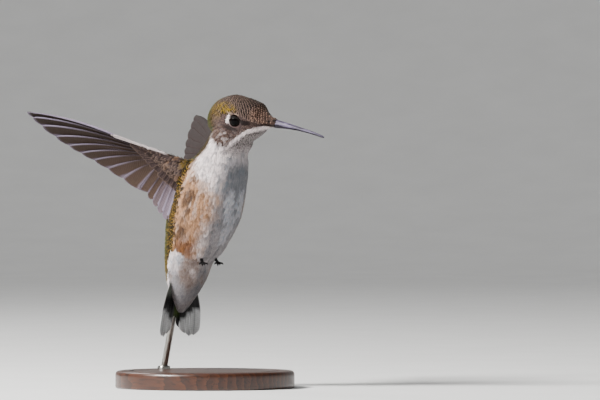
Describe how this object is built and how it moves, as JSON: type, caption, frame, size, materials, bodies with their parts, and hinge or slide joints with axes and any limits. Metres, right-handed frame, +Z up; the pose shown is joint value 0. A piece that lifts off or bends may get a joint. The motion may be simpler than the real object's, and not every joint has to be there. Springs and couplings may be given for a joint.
{
  "type": "ruby-throated hummingbird",
  "caption": "Life-size still model of a female or young ruby-throated hummingbird hovering upright, wings swept back, held by a slanting rod on a round base.",
  "frame": {"origin": "centre of the underside of the stand's round base", "axes": "+Z up, -Y the way the bird's breast faces, -X the bird's right side"},
  "size_m": [0.0746, 0.0782, 0.0851],
  "materials": {
    "crown_feathers": "matte scale-like feathers with a faint bronze sheen",
    "breast_feathers": "soft off-white feathers, buff on the flanks",
    "back_feathers": "small feathers with a bronze-green sheen",
    "flight_feathers": "dusky brown vanes with a soft silvery sheen",
    "tail_feathers": "black vanes with green bases and white tips",
    "bill_horn": "blackish horn with a satin sheen",
    "eye_dark": "wet, very dark brown",
    "foot_scales": "small dark scales, matte",
    "base_wood": "dark turned wood, satin lacquer",
    "rod_steel": "satin drawn steel"
  },
  "bodies": {
    "root": {"head": "crown_feathers", "neck": "breast_feathers", "trunk": "breast_feathers", "tail_coverts": "breast_feathers", "bill_upper": "bill_horn", "bill_lower": "bill_horn", "eye_left": "eye_dark", "eye_right": "eye_dark", "wing_left_arm": "back_feathers", "wing_left_primaries": "flight_feathers", "wing_left_secondaries": "flight_feathers", "wing_right_arm": "back_feathers", "wing_right_primaries": "flight_feathers", "wing_right_secondaries": "flight_feathers", "tail_left": "tail_feathers", "tail_right": "tail_feathers", "tail_center": "tail_feathers", "leg_left": "foot_scales", "leg_right": "foot_scales", "stand_base": "base_wood", "stand_rod": "rod_steel"}
  },
  "joints": []
}
